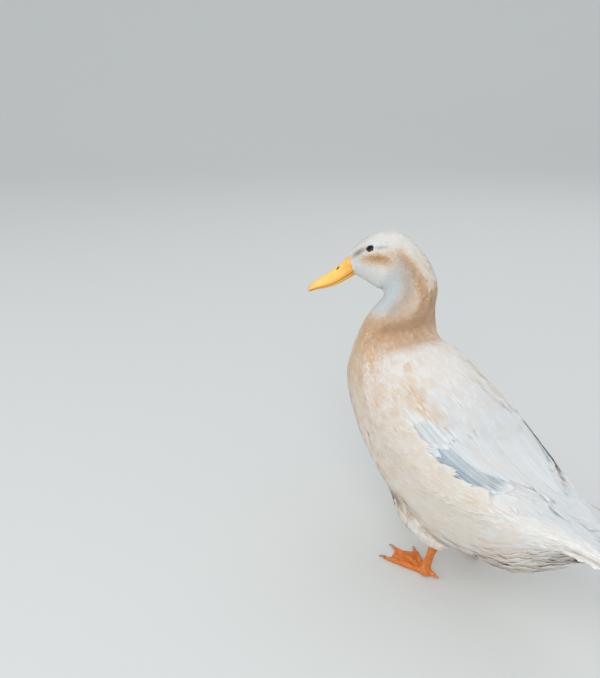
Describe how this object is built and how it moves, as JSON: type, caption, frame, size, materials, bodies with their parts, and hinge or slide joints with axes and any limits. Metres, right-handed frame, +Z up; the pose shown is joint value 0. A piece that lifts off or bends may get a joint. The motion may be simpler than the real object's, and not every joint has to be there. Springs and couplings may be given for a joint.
{
  "type": "saxony duck",
  "caption": "Standing buff Saxony duck, head turned to its left, wings folded, webbed feet flat on the floor.",
  "frame": {"origin": "on the floor, under the middle of the bird's box", "axes": "-Y the way the body faces, +X the bird's left, +Z up from the floor"},
  "size_m": [0.191, 0.5308, 0.4337],
  "materials": {
    "white_feather": "soft, matt white feathers",
    "buff_feather": "soft, matt buff feathers",
    "body_feather": "soft cream feathers with buff",
    "wing_feather": "smooth white and blue-grey feathers",
    "bill_horn": "smooth yellow-orange horn",
    "leg_skin": "scaled orange skin",
    "eye_gloss": "wet, near-black eyeball"
  },
  "bodies": {
    "root": {"torso": "body_feather", "neck": "buff_feather", "head": "white_feather", "bill_upper": "bill_horn", "bill_lower": "bill_horn", "tail": "body_feather", "eye_left": "eye_gloss", "eye_right": "eye_gloss", "wing_left": "wing_feather", "wing_right": "wing_feather", "thigh_left": "body_feather", "thigh_right": "body_feather", "shank_left": "leg_skin", "shank_right": "leg_skin", "foot_left": "leg_skin", "foot_right": "leg_skin"}
  },
  "joints": []
}
